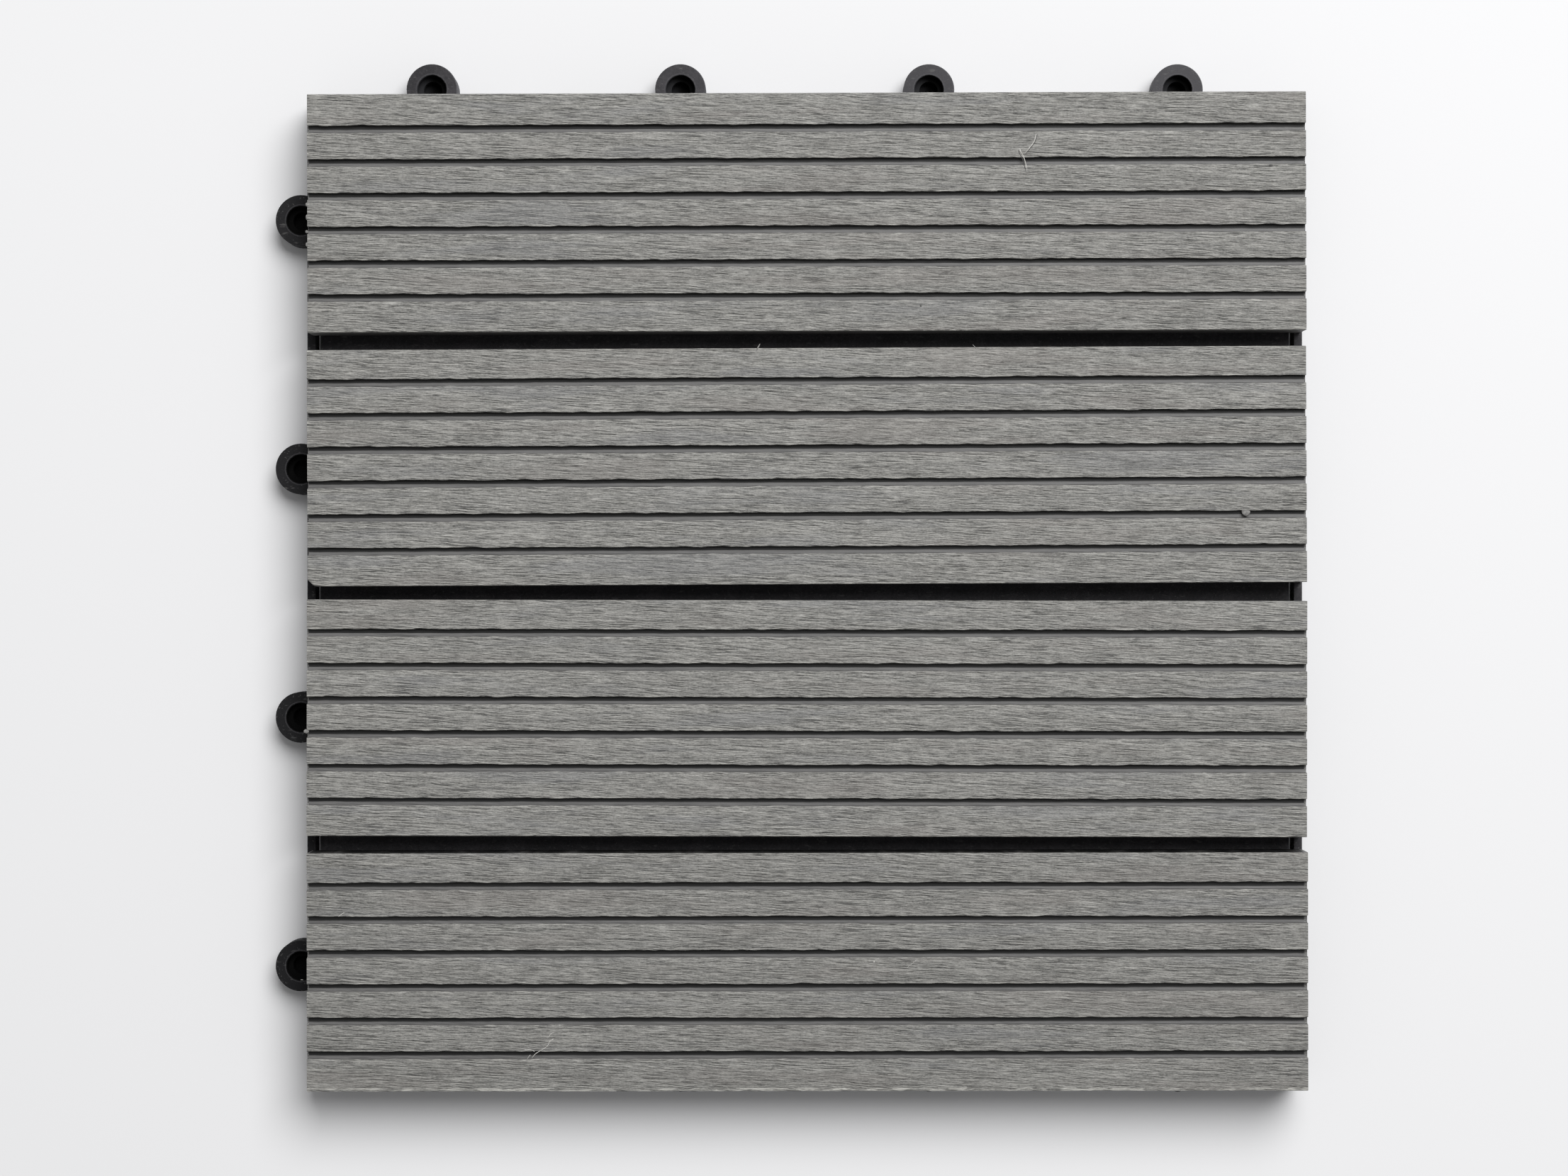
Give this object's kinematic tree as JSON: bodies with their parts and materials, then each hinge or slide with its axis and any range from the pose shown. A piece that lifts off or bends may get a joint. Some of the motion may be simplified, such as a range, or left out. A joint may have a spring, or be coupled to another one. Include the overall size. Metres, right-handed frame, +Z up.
{
  "type": "deck tile",
  "caption": "Square interlocking deck tile: grooved composite slats screwed to a moulded lattice base, with ring sockets along adjacent sides and pegs under the opposite ones.",
  "frame": {"origin": "on the ground, under the middle of the tile, in the plane of its feet", "axes": "+Z up; +X along the slats, towards a side with pegs; +Y across the slats, towards a side with rings"},
  "size_m": [0.31, 0.31, 0.022],
  "materials": {
    "base_plastic": "matte black injection moulding",
    "slat_composite": "brushed grey wood-plastic composite",
    "screw_steel": "plain steel self-tapping screws"
  },
  "bodies": {
    "root": {"base_grid": "base_plastic", "slat_1": "slat_composite", "slat_2": "slat_composite", "slat_3": "slat_composite", "slat_4": "slat_composite", "screws": "screw_steel"}
  },
  "joints": []
}
